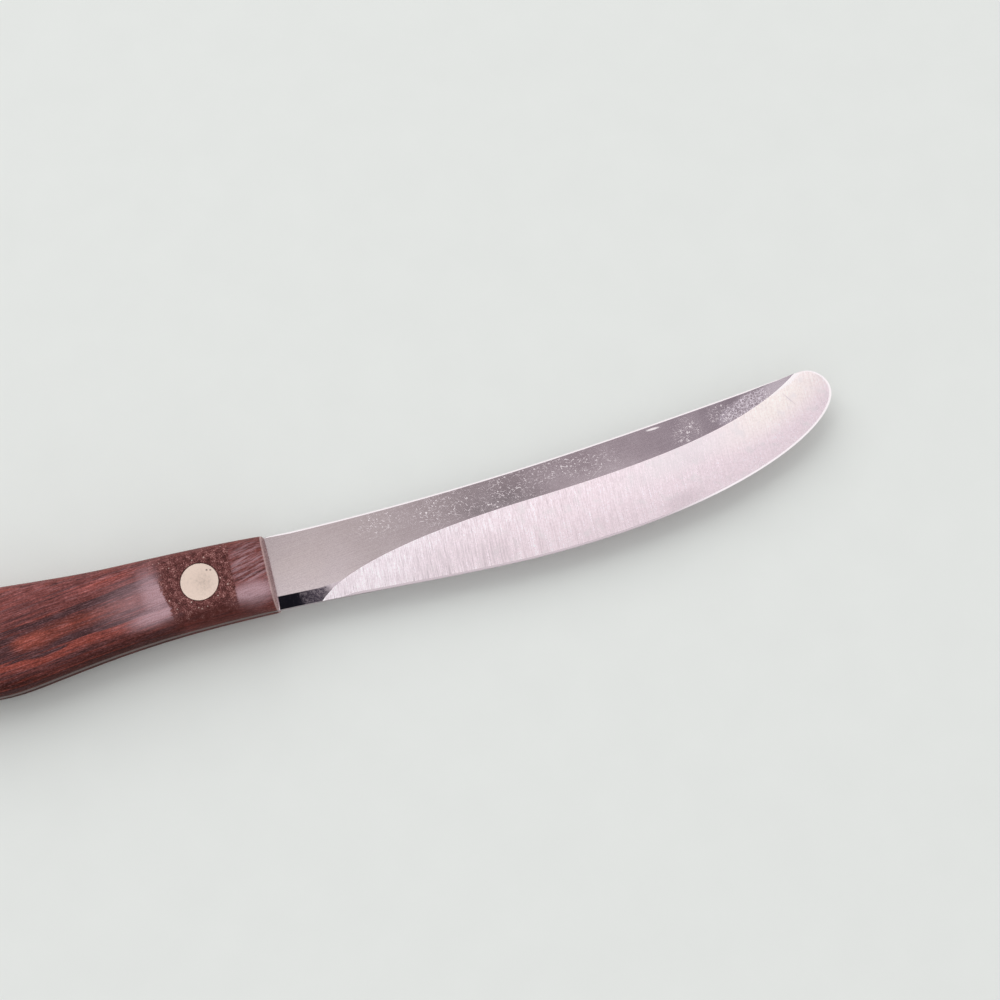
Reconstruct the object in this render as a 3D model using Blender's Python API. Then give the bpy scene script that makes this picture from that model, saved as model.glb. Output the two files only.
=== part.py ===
"""Steak knife: a hollow-ground blade on a full tang, between two riveted hardwood scales.

The knife lies on its side. X runs along it towards the tip, Y across it towards the spine, and Z up
through its thickness. Outlines are drawn from the middle of the handle's front end, where blade and
handle meet, and the whole knife is then centred over the origin. Sizes are in metres, angles in degrees.
"""

import math
from dataclasses import dataclass

import bmesh
import bpy
from mathutils import Vector
from mathutils.geometry import interpolate_bezier

# Steel: blade and tang, stamped as one piece
STOCK = 0.0015
BLADE_LENGTH = 0.1266
HEEL_WIDTH = 0.0161
SPINE_RISE = 0.00745
SPINE_START_HEADING = -1.0
SPINE_END_HEADING = 5.6
SPINE_CHAMFER = 0.00025
SPINE_CHAMFER_RUNOUT = 0.0015
TIP_RADIUS = 0.0049
TIP_LEAD = 0.0016
TIP_END_ANGLE = -24.0
BELLY_AT = 0.0551
BELLY_DROP = 0.00245
HEEL_SLOPE = 1.7

# Hollow grind, the same on both sides of the blade
GRIND_START = 0.0090
GRIND_START_HEADING = 46.0
GRIND_MID_AT = 0.0556
GRIND_MID_HEIGHT = 0.0021
GRIND_MID_HEADING = 3.0
GRIND_END_HEADING = 34.0
GRIND_FULL_WIDTH = 0.0100
GRIND_WHEEL_RADIUS = 0.150
SHOULDER_THICKNESS = 0.00044
EDGE_THICKNESS = 0.00012
EDGE_BEVEL_WIDTH = 0.0005
EDGE_BEVEL_MOST_SHARE = 0.3

# Relieved heel: the facet along the lower edge, between the handle and the grind
CHOIL_WIDTH = 0.0028
CHOIL_DROP = 0.0003
CHOIL_RUNOUT = 0.003

# Handle outline: places from its front end or from the butt, heights from the knife's axis
HANDLE_LENGTH = 0.1144
FINGER_RELIEF_AT = 0.0125
FINGER_RELIEF_HEIGHT = 0.0079
SWELL_AT = 0.0575
SWELL_HEIGHT = 0.01175
LITTLE_FINGER_FROM_BUTT = 0.029
LITTLE_FINGER_HEIGHT = 0.0086
BEAK_FROM_BUTT = 0.0105
BEAK_HEIGHT = 0.0113
BUTT_HEIGHT = 0.0005
BACK_CROWN_AT = 0.072
BACK_CROWN_HEIGHT = 0.0117
BACK_WAIST_AT = 0.031
BACK_WAIST_HEIGHT = 0.0092
BACK_WAIST_HEADING = -0.8
BACK_FRONT_HEADING = -4.0

# Scales: slabs with a flat land, rounded over along the outline, and a front end that leans back
SCALE_THICKNESS = 0.0056
SIDE_WALL = 0.0004
ROUND_WIDTH = 0.0034
FRONT_DRAFT = 2.5
FRONT_BLEND = 0.012
FRONT_EASE = 0.0004
GLUE_LINE = 0.00005

# Cutler's rivets: a headed pin, pressed into a headed tube
FRONT_RIVET_AT = 0.01445
REAR_RIVET_FROM_BUTT = 0.0190
RIVET_HEAD_DIAMETER = 0.00794
RIVET_HEAD_THICKNESS = 0.0013
RIVET_HEAD_EASE = 0.00015
RIVET_PIN_DIAMETER = 0.0032
RIVET_TUBE_WALL = 0.00073
RIVET_TUBE_STOP = 0.0006
RIVET_PIN_STOP = 0.0006
RIVET_FIT = 0.00005
BORE_OVERRUN = 0.002

# How far a curve's tangents reach at its start and its end, as shares of its chord
SPINE_PULL = (0.42, 0.30)
BELLY_PULL = (0.12, 0.58)
HEEL_PULL = (0.25, 0.31)
GRIND_RISE_PULL = (0.175, 0.44)
GRIND_CLIMB_PULL = (0.41, 0.26)
FINGER_PULL = (0.39, 0.32)
GRIP_PULL = (0.52, 0.16)
PALM_PULL = (0.36, 0.36)
BEAK_PULL = (0.42, 0.48)
BUTT_BOTTOM_PULL = (0.40, 0.42)
BUTT_TOP_PULL = (0.22, 0.42)
BACK_PULL = (0.34, 0.34)

# Finishes: base colour, roughness and metallic value
BLADE_STEEL = ((0.66, 0.63, 0.65), 0.22, 1.0)
ROSEWOOD = ((0.16, 0.055, 0.040), 0.32, 0.0)
RIVET_NICKEL = ((0.74, 0.66, 0.56), 0.35, 1.0)

# How finely curves are drawn
SPINE_SAMPLES = 28
TIP_SAMPLES = 24
BELLY_SAMPLES = 30
HEEL_SAMPLES = 22
GRIND_SAMPLES = 48
HANDLE_SAMPLES = 12
HOLLOW_ROWS = 6
ROUND_ROWS = 8
EASE_ROWS = 2
TURN_STEPS = 32
SAME_POINT = 1e-6
SHARP_ANGLE = 30.0

TANG_HALF = STOCK / 2
HANDLE_THICKNESS = STOCK + 2 * (GLUE_LINE + SCALE_THICKNESS)
MID_HEIGHT = HANDLE_THICKNESS / 2
HEEL_TOP = Vector((0.0, HEEL_WIDTH / 2))
HEEL_BOTTOM = Vector((0.0, -HEEL_WIDTH / 2))


# Curves in the plane of the blade

def heading(degrees):
    return Vector((math.cos(math.radians(degrees)), math.sin(math.radians(degrees))))


def sweep(start, start_heading, end, end_heading, pull, samples):
    """Points of a smooth curve that leaves start and reaches end along the two headings."""
    chord = (end - start).length
    leave = start + heading(start_heading) * chord * pull[0]
    arrive = end - heading(end_heading) * chord * pull[1]
    return [Vector(point) for point in interpolate_bezier(start, leave, arrive, end, samples)]


def joined(*runs):
    """Runs of points that meet end to end, as one run."""
    points = list(runs[0])
    for run in runs[1:]:
        points += run[1:]
    return points


def lengths_along(points):
    """Distance of each point from the first, measured along the run."""
    distances = [0.0]
    for a, b in zip(points, points[1:]):
        distances.append(distances[-1] + (b - a).length)
    return distances


def point_along(points, distances, wanted):
    """The point of a run that lies the wanted distance along it."""
    i = next((i for i, distance in enumerate(distances) if distance >= wanted), len(points) - 1)
    i = max(i, 1)
    share = (wanted - distances[i - 1]) / (distances[i] - distances[i - 1])
    return points[i - 1].lerp(points[i], share)


def height_at(points, x):
    """Height of a run of points where it passes x."""
    for a, b in zip(points, points[1:]):
        if a.x != b.x and min(a.x, b.x) <= x <= max(a.x, b.x):
            return a.lerp(b, (x - a.x) / (b.x - a.x)).y
    raise ValueError(f"the curve doesn't reach x = {x}")


def inward_normals(points):
    """Unit normals of a run, to the right of its direction of travel."""
    last = len(points) - 1
    normals = []
    for i in range(len(points)):
        along = points[min(i + 1, last)] - points[max(i - 1, 0)]
        normals.append(Vector((along.y, -along.x)).normalized())
    return normals


def blade_curves():
    """Spine from the handle to the grind's end, tip from there to the belly, and edge back to the handle."""
    centre = Vector((BLADE_LENGTH - TIP_RADIUS, HEEL_TOP.y + SPINE_RISE - TIP_RADIUS))
    first = 90.0 + SPINE_END_HEADING
    arc = []
    for i in range(TIP_SAMPLES + 1):
        angle = first + (TIP_END_ANGLE - first) * i / TIP_SAMPLES
        arc.append(centre + heading(angle) * TIP_RADIUS)
    spine_end = arc[0] - heading(SPINE_END_HEADING) * TIP_LEAD
    spine = sweep(HEEL_TOP, SPINE_START_HEADING, spine_end, SPINE_END_HEADING, SPINE_PULL, SPINE_SAMPLES)
    belly = Vector((BELLY_AT, HEEL_BOTTOM.y - BELLY_DROP))
    edge = joined(
        sweep(arc[-1], TIP_END_ANGLE - 90.0, belly, 180.0, BELLY_PULL, BELLY_SAMPLES),
        sweep(belly, 180.0, HEEL_BOTTOM, 180.0 - HEEL_SLOPE, HEEL_PULL, HEEL_SAMPLES),
    )
    return spine, [spine_end] + arc, edge


def grind_limit(start, end):
    """Upper limit of the hollow grind, from the edge near the handle to the spine near the tip."""
    middle = Vector((GRIND_MID_AT, GRIND_MID_HEIGHT))
    return joined(
        sweep(start, GRIND_START_HEADING, middle, GRIND_MID_HEADING, GRIND_RISE_PULL, GRIND_SAMPLES),
        sweep(middle, GRIND_MID_HEADING, end, GRIND_END_HEADING, GRIND_CLIMB_PULL, GRIND_SAMPLES),
    )


def handle_edges():
    """Lower edge of the handle from the blade to the butt, and its back from the butt to the spine."""
    butt = Vector((-HANDLE_LENGTH, BUTT_HEIGHT))
    finger = Vector((-FINGER_RELIEF_AT, -FINGER_RELIEF_HEIGHT))
    swell = Vector((-SWELL_AT, -SWELL_HEIGHT))
    little = Vector((butt.x + LITTLE_FINGER_FROM_BUTT, -LITTLE_FINGER_HEIGHT))
    beak = Vector((butt.x + BEAK_FROM_BUTT, -BEAK_HEIGHT))
    crown = Vector((-BACK_CROWN_AT, BACK_CROWN_HEIGHT))
    waist = Vector((-BACK_WAIST_AT, BACK_WAIST_HEIGHT))
    lower = joined(
        sweep(HEEL_BOTTOM, 180.0 - HEEL_SLOPE, finger, 180.0, FINGER_PULL, HANDLE_SAMPLES),
        sweep(finger, 180.0, swell, 180.0, GRIP_PULL, HANDLE_SAMPLES),
        sweep(swell, 180.0, little, 180.0, PALM_PULL, HANDLE_SAMPLES),
        sweep(little, 180.0, beak, 180.0, BEAK_PULL, HANDLE_SAMPLES),
        sweep(beak, 180.0, butt, 90.0, BUTT_BOTTOM_PULL, HANDLE_SAMPLES),
    )
    back = joined(
        sweep(butt, 90.0, crown, 0.0, BUTT_TOP_PULL, HANDLE_SAMPLES),
        sweep(crown, 0.0, waist, BACK_WAIST_HEADING, BACK_PULL, HANDLE_SAMPLES),
        sweep(waist, BACK_WAIST_HEADING, HEEL_TOP, BACK_FRONT_HEADING, BACK_PULL, HANDLE_SAMPLES),
    )
    return lower, back


# Objects, meshes and materials

def clear_scene():
    for obj in list(bpy.data.objects):
        bpy.data.objects.remove(obj, do_unlink=True)


def finish(name, colour, roughness, metallic):
    material = bpy.data.materials.new(name)
    material.use_nodes = True
    shader = material.node_tree.nodes["Principled BSDF"]
    shader.inputs["Base Color"].default_value = (*colour, 1.0)
    shader.inputs["Roughness"].default_value = roughness
    shader.inputs["Metallic"].default_value = metallic
    return material


def add_object(name, mesh, parent, location, material=None):
    obj = bpy.data.objects.new(name, mesh)
    bpy.context.scene.collection.objects.link(obj)
    obj.parent = parent
    obj.location = location
    if material:
        mesh.materials.append(material)
    return obj


def mesh_from(bm, name):
    """A mesh with its faces pointing out, shaded smooth but for its sharp edges."""
    bmesh.ops.recalc_face_normals(bm, faces=bm.faces)
    mesh = bpy.data.meshes.new(name)
    bm.to_mesh(mesh)
    bm.free()
    mesh.shade_smooth()
    mesh.set_sharp_from_angle(angle=math.radians(SHARP_ANGLE))
    return mesh


def turned(name, profile, parent, place, material=None):
    """A solid turned about Z at a place. Its profile of (radius, height) runs down its outer side."""
    mesh = bpy.data.meshes.new(name)
    points = [(radius, 0.0, height) for radius, height in profile]
    mesh.from_pydata(points, [(i, i + 1) for i in range(len(points) - 1)], [])
    obj = add_object(name, mesh, parent, (place.x, place.y, 0.0), material)
    screw = obj.modifiers.new("turn", "SCREW")
    screw.steps = TURN_STEPS
    screw.render_steps = TURN_STEPS
    screw.use_merge_vertices = True
    screw.merge_threshold = SAME_POINT
    return obj


def bore(piece, cutter):
    cut = piece.modifiers.new(cutter.name, "BOOLEAN")
    cut.operation = "DIFFERENCE"
    cut.solver = "EXACT"
    cut.object = cutter


# Blade and tang

@dataclass
class BladeCurves:
    """The runs of points that bound the faces of the steel, the same on both of its sides."""

    spine: list  # from the handle to the end of the grind
    ground: list  # the cutting edge and tip, from the start of the grind to its end
    ridge: list  # the grind's upper limit, one point for each point of ground
    blunt: list  # the relieved lower edge, from the start of the grind to the handle
    runout: Vector  # where the relieved heel ends, under the scales
    tang: list  # the handle's outline from there round to the spine

    def lift(self, place):
        """Height of a place over the relieved edge, which is carried on level past the grind's start."""
        return place.y - height_at(self.blunt, min(place.x, self.blunt[0].x))


def draw_blade(lower, back):
    spine, tip, edge = blade_curves()
    start = Vector((GRIND_START, height_at(edge, GRIND_START)))
    cutting = [point for point in edge if point.x > start.x + SAME_POINT] + [start]
    blunt = [start] + [point for point in edge if point.x < start.x - SAME_POINT]
    ground = joined(tip, cutting)[::-1]
    limit = grind_limit(start, spine[-1])
    along_limit, along_ground = lengths_along(limit), lengths_along(ground)
    stretch = along_limit[-1] / along_ground[-1]
    ridge = [point_along(limit, along_limit, distance * stretch) for distance in along_ground]
    runout = Vector((-CHOIL_RUNOUT, height_at(lower, -CHOIL_RUNOUT)))
    tang = [point for point in lower if point.x < runout.x - SAME_POINT] + back[1:-1]
    return BladeCurves(spine, ground, ridge, blunt, runout, tang)


class Side:
    """One side of the steel. A point that several faces share is made once."""

    def __init__(self, bm, sign):
        self.bm = bm
        self.sign = sign
        self.made = {}

    def point(self, place, half):
        key = (round(place.x, 9), round(place.y, 9), round(half, 9))
        if key not in self.made:
            self.made[key] = self.bm.verts.new((place.x, place.y, self.sign * half))
        return self.made[key]

    def face(self, points):
        """A face through the points, each taken once where neighbours repeat it."""
        kept = [point for i, point in enumerate(points) if point is not points[i - 1]]
        if len(kept) > 2:
            self.bm.faces.new(kept)


def heel_half(lift):
    """Half-thickness of the steel at a height over its lower edge, thinned where the heel is relieved."""
    return TANG_HALF - CHOIL_DROP * max(0.0, 1.0 - lift / CHOIL_WIDTH)


def hollow_section(edge, ridge, ridge_half):
    """(place, half-thickness) across the hollow grind, from the cutting edge to its upper limit.

    The wheel's arc is hung between the grind's limit and the shoulder behind the edge bevel. Where the
    grind runs out it is narrower, and shallower in proportion.
    """
    width = (ridge - edge).length
    depth = min(1.0, width / GRIND_FULL_WIDTH)
    shoulder = ridge_half - (TANG_HALF - SHOULDER_THICKNESS / 2) * depth
    sag = width**2 / (8 * GRIND_WHEEL_RADIUS)
    bevel = (SHOULDER_THICKNESS - EDGE_THICKNESS) / 2 * depth
    bevel_share = min(EDGE_BEVEL_WIDTH / width, EDGE_BEVEL_MOST_SHARE)
    section = [(edge, shoulder - bevel)]
    for row in range(HOLLOW_ROWS + 1):
        share = bevel_share + (1.0 - bevel_share) * row / HOLLOW_ROWS
        half = shoulder + (ridge_half - shoulder) * share - 4 * sag * share * (1.0 - share)
        section.append((edge.lerp(ridge, share), half))
    return section


def add_hollow(side, curves):
    """The hollow grind. Returns its points along the cutting edge and along its upper limit."""
    columns = []
    for edge, ridge in zip(curves.ground, curves.ridge):
        ridge_half = heel_half(curves.lift(ridge))
        if (ridge - edge).length < SAME_POINT:
            columns.append([side.point(edge, ridge_half)] * (HOLLOW_ROWS + 2))
        else:
            section = hollow_section(edge, ridge, ridge_half)
            columns.append([side.point(place, half) for place, half in section])
    for left, right in zip(columns, columns[1:]):
        for row in range(HOLLOW_ROWS + 1):
            side.face([left[row], right[row], right[row + 1], left[row + 1]])
    return [column[0] for column in columns], [column[-1] for column in columns]


def spine_chamfer(place, end):
    """Width of the chamfer along the spine, which runs out at the handle and at the end of the grind."""
    room = min(place.x, end.x - place.x) / SPINE_CHAMFER_RUNOUT
    return SPINE_CHAMFER * max(0.0, min(1.0, room))


def add_spine(side, curves):
    """The chamfer along the spine. Returns its points on the flat and on the rim."""
    flat, rim = [], []
    for place, normal in zip(curves.spine, inward_normals(curves.spine)):
        chamfer = spine_chamfer(place, curves.spine[-1])
        flat.append(side.point(place + normal * chamfer, TANG_HALF))
        rim.append(side.point(place, TANG_HALF - chamfer))
    for i in range(len(flat) - 1):
        side.face([flat[i], rim[i], rim[i + 1], flat[i + 1]])
    return flat, rim


def add_side(bm, sign, curves):
    """All faces of one side of the steel. Returns the loop of points along its rim."""
    side = Side(bm, sign)
    edge, limit = add_hollow(side, curves)
    flat_spine, rim_spine = add_spine(side, curves)
    heel_edge = [side.point(place, heel_half(0.0)) for place in curves.blunt]
    heel_top = [side.point(place + Vector((0.0, CHOIL_WIDTH)), TANG_HALF) for place in curves.blunt]
    heel_end = side.point(curves.runout, TANG_HALF)
    tang = [side.point(place, TANG_HALF) for place in curves.tang]
    clear = next(i for i, place in enumerate(curves.ridge) if curves.lift(place) >= CHOIL_WIDTH)
    side.face(limit[clear:] + flat_spine[-2::-1] + heel_top[::-1])
    side.face(limit[clear::-1] + heel_top[:1])
    for i in range(len(heel_edge) - 1):
        side.face([heel_edge[i], heel_edge[i + 1], heel_top[i + 1], heel_top[i]])
    side.face([heel_top[-1], heel_edge[-1], heel_end])
    side.face([heel_top[-1], heel_end] + tang + flat_spine[:1])
    return edge[::-1] + heel_edge[1:] + [heel_end] + tang + rim_spine[:-1]


def make_blade(parent, material, lower, back):
    """Blade and tang as one solid: two sides, and the rim between them."""
    curves = draw_blade(lower, back)
    bm = bmesh.new()
    upper_rim = add_side(bm, 1, curves)
    lower_rim = add_side(bm, -1, curves)
    for i in range(len(upper_rim)):
        bm.faces.new([upper_rim[i - 1], upper_rim[i], lower_rim[i], lower_rim[i - 1]])
    return add_object("blade", mesh_from(bm, "blade"), parent, (0.0, 0.0, MID_HEIGHT), material)


# Scales

def side_profile():
    """(inset from the outline, height over the tang) of a scale's side, from the tang up to the land."""
    rise = SCALE_THICKNESS - SIDE_WALL
    profile = [(0.0, 0.0)]
    for row in range(ROUND_ROWS + 1):
        angle = math.radians(90.0 * row / ROUND_ROWS)
        profile.append((ROUND_WIDTH * (1.0 - math.cos(angle)), SIDE_WALL + rise * math.sin(angle)))
    return profile


def lean_at(height):
    """How far the front end has leant back at a height over the tang."""
    return height * math.tan(math.radians(FRONT_DRAFT))


def scale_rings(bm, outline):
    """The scale's outline, drawn in ring by ring from the tang to the land."""
    normals = inward_normals(outline)
    normals[0] = Vector((0.0, 1.0))
    normals[-1] = Vector((0.0, -1.0))
    rings = []
    for inset, height in side_profile():
        set_back = lean_at(height) + FRONT_EASE
        ring = []
        for place, normal in zip(outline, normals):
            moved = place + normal * inset
            share = max(0.0, 1.0 + place.x / FRONT_BLEND)
            ring.append(bm.verts.new((moved.x - set_back * share, moved.y, height)))
        rings.append(ring)
    return rings


def front_loops(bm, rings):
    """The front end's section, drawn in step by step over its eased edge to the leaning face."""
    first = [ring[0] for ring in rings] + [ring[-1] for ring in reversed(rings)]
    section = [Vector((vert.co.y, vert.co.z)) for vert in first]
    normals = inward_normals(section)
    normals[0] = Vector((1.0, 0.0))
    normals[-1] = Vector((-1.0, 0.0))
    loops = [first]
    for row in range(1, EASE_ROWS + 1):
        angle = math.radians(90.0 * row / EASE_ROWS)
        loop = []
        for place, normal in zip(section, normals):
            y, z = place + normal * FRONT_EASE * (1.0 - math.cos(angle))
            x = -lean_at(z) - FRONT_EASE * (1.0 - math.sin(angle))
            loop.append(bm.verts.new((x, y, z)))
        loops.append(loop)
    return loops


def add_strip(bm, first, second):
    """Faces between two runs of as many points."""
    for i in range(len(first) - 1):
        bm.faces.new([first[i], first[i + 1], second[i + 1], second[i]])


def make_scale(name, parent, material, outline, facing):
    """A scale, flat on the tang, with its rounded side and land facing up (1) or down (-1)."""
    bm = bmesh.new()
    rings = scale_rings(bm, outline)
    loops = front_loops(bm, rings)
    for runs in (rings, loops):
        for first, second in zip(runs, runs[1:]):
            add_strip(bm, first, second)
    bm.faces.new(rings[-1])
    bm.faces.new(loops[-1])
    bm.faces.new(rings[0] + [loop[-1] for loop in loops[1:]] + [loop[0] for loop in loops[:0:-1]])
    bmesh.ops.scale(bm, vec=(1.0, 1.0, facing), verts=bm.verts)
    height = MID_HEIGHT + facing * (TANG_HALF + GLUE_LINE)
    return add_object(name, mesh_from(bm, name), parent, (0.0, 0.0, height), material)


# Rivets

def make_bore_cutter(name, parent, place):
    """The stepped bore that one rivet fills, through both scales and the tang."""
    head = RIVET_HEAD_DIAMETER / 2 + RIVET_FIT
    shank = RIVET_PIN_DIAMETER / 2 + RIVET_FIT + RIVET_TUBE_WALL + RIVET_FIT
    seat = RIVET_HEAD_THICKNESS + RIVET_FIT
    profile = [
        (0.0, HANDLE_THICKNESS + BORE_OVERRUN),
        (head, HANDLE_THICKNESS + BORE_OVERRUN),
        (head, HANDLE_THICKNESS - seat),
        (shank, HANDLE_THICKNESS - seat),
        (shank, seat),
        (head, seat),
        (head, -BORE_OVERRUN),
        (0.0, -BORE_OVERRUN),
    ]
    cutter = turned(name, profile, parent, place)
    cutter.hide_render = True
    cutter.display_type = "WIRE"
    return cutter


def make_rivet(name, parent, material, place):
    """One rivet: its tube, headed on the back scale, and its pin, headed on the front scale."""
    head = RIVET_HEAD_DIAMETER / 2
    pin = RIVET_PIN_DIAMETER / 2
    socket = pin + RIVET_FIT
    tube = socket + RIVET_TUBE_WALL
    under_head = HANDLE_THICKNESS - RIVET_HEAD_THICKNESS
    tube_top = under_head - RIVET_TUBE_STOP
    pin_end = RIVET_HEAD_THICKNESS + RIVET_PIN_STOP
    tube_profile = [
        (0.0, RIVET_HEAD_THICKNESS),
        (socket, RIVET_HEAD_THICKNESS),
        (socket, tube_top),
        (tube, tube_top),
        (tube, RIVET_HEAD_THICKNESS),
        (head, RIVET_HEAD_THICKNESS),
        (head, RIVET_HEAD_EASE),
        (head - RIVET_HEAD_EASE, 0.0),
        (0.0, 0.0),
    ]
    pin_profile = [
        (0.0, HANDLE_THICKNESS),
        (head - RIVET_HEAD_EASE, HANDLE_THICKNESS),
        (head, HANDLE_THICKNESS - RIVET_HEAD_EASE),
        (head, under_head),
        (pin, under_head),
        (pin, pin_end + RIVET_HEAD_EASE),
        (pin - RIVET_HEAD_EASE, pin_end),
        (0.0, pin_end),
    ]
    turned(name + "_tube", tube_profile, parent, place, material)
    turned(name + "_pin", pin_profile, parent, place, material)


def centred_place(outline):
    """Where the handle's front end lies when the knife is centred over the origin."""
    spine, tip, edge = blade_curves()
    points = spine + tip + edge + outline
    across = [point.y for point in points]
    along = [point.x for point in points]
    return (-(max(along) + min(along)) / 2, -(max(across) + min(across)) / 2, 0.0)


def main():
    clear_scene()
    steel = finish("blade_steel", *BLADE_STEEL)
    wood = finish("rosewood", *ROSEWOOD)
    nickel = finish("rivet_nickel", *RIVET_NICKEL)
    lower, back = handle_edges()
    outline = joined(lower, back)
    knife = bpy.data.objects.new("knife", None)
    bpy.context.scene.collection.objects.link(knife)
    knife.location = centred_place(outline)

    blade = make_blade(knife, steel, lower, back)
    front_scale = make_scale("front_scale", knife, wood, outline, 1)
    back_scale = make_scale("back_scale", knife, wood, outline, -1)
    rivets = {"front_rivet": -FRONT_RIVET_AT, "rear_rivet": REAR_RIVET_FROM_BUTT - HANDLE_LENGTH}
    for name, x in rivets.items():
        place = Vector((x, (height_at(lower, x) + height_at(back, x)) / 2))
        cutter = make_bore_cutter(name + "_bore", knife, place)
        for piece in (blade, front_scale, back_scale):
            bore(piece, cutter)
        make_rivet(name, knife, nickel, place)


main()
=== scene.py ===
"""Looks of the steak knife: ground blade, rosewood scales, cutler's rivets and a plain studio stage.

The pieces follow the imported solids, which stay where they are. Lengths are in metres. Patterns are laid
out in millimetres, on the blade from the middle of the handle's front end, and on the wood and the rivets
from the front rivet.
"""

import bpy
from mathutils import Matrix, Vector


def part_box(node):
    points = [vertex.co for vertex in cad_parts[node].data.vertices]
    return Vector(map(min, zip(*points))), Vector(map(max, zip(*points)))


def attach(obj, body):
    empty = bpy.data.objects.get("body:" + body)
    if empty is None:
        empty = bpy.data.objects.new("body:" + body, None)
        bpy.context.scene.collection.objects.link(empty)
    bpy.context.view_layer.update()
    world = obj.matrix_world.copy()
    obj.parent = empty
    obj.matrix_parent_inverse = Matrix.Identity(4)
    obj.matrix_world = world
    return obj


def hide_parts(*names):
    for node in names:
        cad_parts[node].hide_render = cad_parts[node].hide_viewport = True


bl_info = {
    "name": "Steak Knife Looks",
    "version": (1, 0, 0),
    "blender": (4, 5, 0),
    "location": "3D View > Sidebar > Steak Knife",
    "description": "Finished pieces, materials and a studio stage for the packed steak knife",
    "category": "Object",
}

import math

import bmesh
import bpy
from bpy.props import FloatProperty, FloatVectorProperty, IntProperty, PointerProperty
from mathutils import Vector

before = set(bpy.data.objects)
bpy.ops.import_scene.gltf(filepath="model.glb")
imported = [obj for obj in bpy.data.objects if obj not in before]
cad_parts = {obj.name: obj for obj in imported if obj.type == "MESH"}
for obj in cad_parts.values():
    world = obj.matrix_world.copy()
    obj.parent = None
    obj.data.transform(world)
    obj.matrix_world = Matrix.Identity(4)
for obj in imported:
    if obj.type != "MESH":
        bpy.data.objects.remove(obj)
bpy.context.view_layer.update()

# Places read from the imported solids
BLADE_LOW, BLADE_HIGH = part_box("blade")
BLADE_MID_HEIGHT = (BLADE_LOW.z + BLADE_HIGH.z) / 2
_, SCALE_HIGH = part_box("front_scale")
PIN_LOW, PIN_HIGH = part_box("front_rivet_pin")
FRONT_RIVET = Vector(((PIN_LOW.x + PIN_HIGH.x) / 2, (PIN_LOW.y + PIN_HIGH.y) / 2, SCALE_HIGH.z))
AXIS_BELOW_RIVET = 0.00044
JOINT = Vector((SCALE_HIGH.x, FRONT_RIVET.y - AXIS_BELOW_RIVET, BLADE_MID_HEIGHT))
REAR_LOW, REAR_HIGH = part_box("rear_rivet_pin")
RIVET_SPAN = (REAR_LOW.x + REAR_HIGH.x) / 2 - FRONT_RIVET.x

MM_PER_M = 1000.0
SAME_POINT = 1e-6


# Settings

def a_number(name, description, default, **kind):
    return FloatProperty(name=name, description=description, default=default, **kind)


def a_length(name, description, default):
    return a_number(name, description, default, unit="LENGTH", precision=5)


def a_share(name, description, default):
    return a_number(name, description, default, min=0.0, max=1.0, subtype="FACTOR")


def an_angle(name, description, degrees):
    return a_number(name, description, math.radians(degrees), subtype="ANGLE")


def a_colour(name, description, default):
    return FloatVectorProperty(
        name=name, description=description, default=default, size=3, min=0.0, max=1.0, subtype="COLOR"
    )


class BladeLooks(bpy.types.PropertyGroup):
    """Finish of the blade and tang"""

    flat_colour: a_colour("Flat colour", "Polished steel between spine and grind", (0.685, 0.585, 0.63))
    hollow_colour: a_colour("Hollow colour", "Satin steel of the hollow grind", (0.985, 0.832, 0.893))
    scratch_colour: a_colour("Scratch colour", "Bright metal in a fresh scratch", (0.95, 0.88, 0.90))
    haze_colour: a_colour("Haze colour", "Rubbed patch of the flats near the tip", (0.92, 0.825, 0.91))
    cream_colour: a_colour("Cream colour", "Warm polish of the grind near the tip", (1.0, 0.895, 0.875))
    breath_colour: a_colour("Breath colour", "Greyer clouds on the grind", (0.86, 0.80, 0.83))
    flat_roughness: a_share("Flat roughness", "Gloss of the polished flats", 0.10)
    hollow_roughness: a_share("Hollow roughness", "Gloss of the brushed hollow grind", 0.30)
    spine_round: a_length("Spine round", "Rounding where the flats meet the spine", 0.00018)
    brush_pitch: a_length("Brush pitch", "Width of a line left by the grinding wheel", 0.00032)
    brush_length: a_length("Brush length", "Length of a line left by the grinding wheel", 0.012)
    scratch_length: a_length("Scratch length", "Usual length of a scratch on the flats", 0.0016)


class WoodLooks(bpy.types.PropertyGroup):
    """Finish of the rosewood scales"""

    body_colour: a_colour("Body colour", "Wood outside the dark veins", (0.150, 0.042, 0.038))
    # Painted shade: wood darkened along the lower edge, which faces away from the light
    lower_shade_colour: a_colour("Deep colour", "Darkest wood, along the lower edge", (0.050, 0.009, 0.006))
    heart_colour: a_colour("Heart colour", "Orange wood between the veins", (0.210, 0.050, 0.036))
    ember_colour: a_colour("Ember colour", "Bright red line beside a vein", (0.245, 0.051, 0.036))
    vein_colour: a_colour("Vein colour", "Dark lines in the figure", (0.058, 0.023, 0.025))
    bare_colour: a_colour("Bare colour", "Wood ground bare round a rivet", (0.146, 0.050, 0.048))
    fibre_colour: a_colour("Fibre colour", "Torn fibres in the bare wood", (0.58, 0.31, 0.285))
    # Painted sheen: a pale reflection of light on the lacquer, painted into the colour; also the colour of
    # painted glints and pale streaks
    painted_sheen_colour: a_colour("Bloom colour", "Pale haze in old lacquer", (0.48, 0.31, 0.345))
    rubbed_colour: a_colour("Rubbed colour", "Edge at the front end, rubbed pale", (0.56, 0.40, 0.39))
    grain_angle: an_angle("Grain angle", "Turn of the grain from the handle's axis", 6.5)
    vein_gap: a_length("Vein gap", "Distance between the two dark veins", 0.0054)
    bare_reach: a_length("Bare reach", "Half-length of the ground patch round a rivet", 0.0069)
    lacquer_roughness: a_share("Lacquer roughness", "Gloss of the clear lacquer", 0.38)


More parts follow.
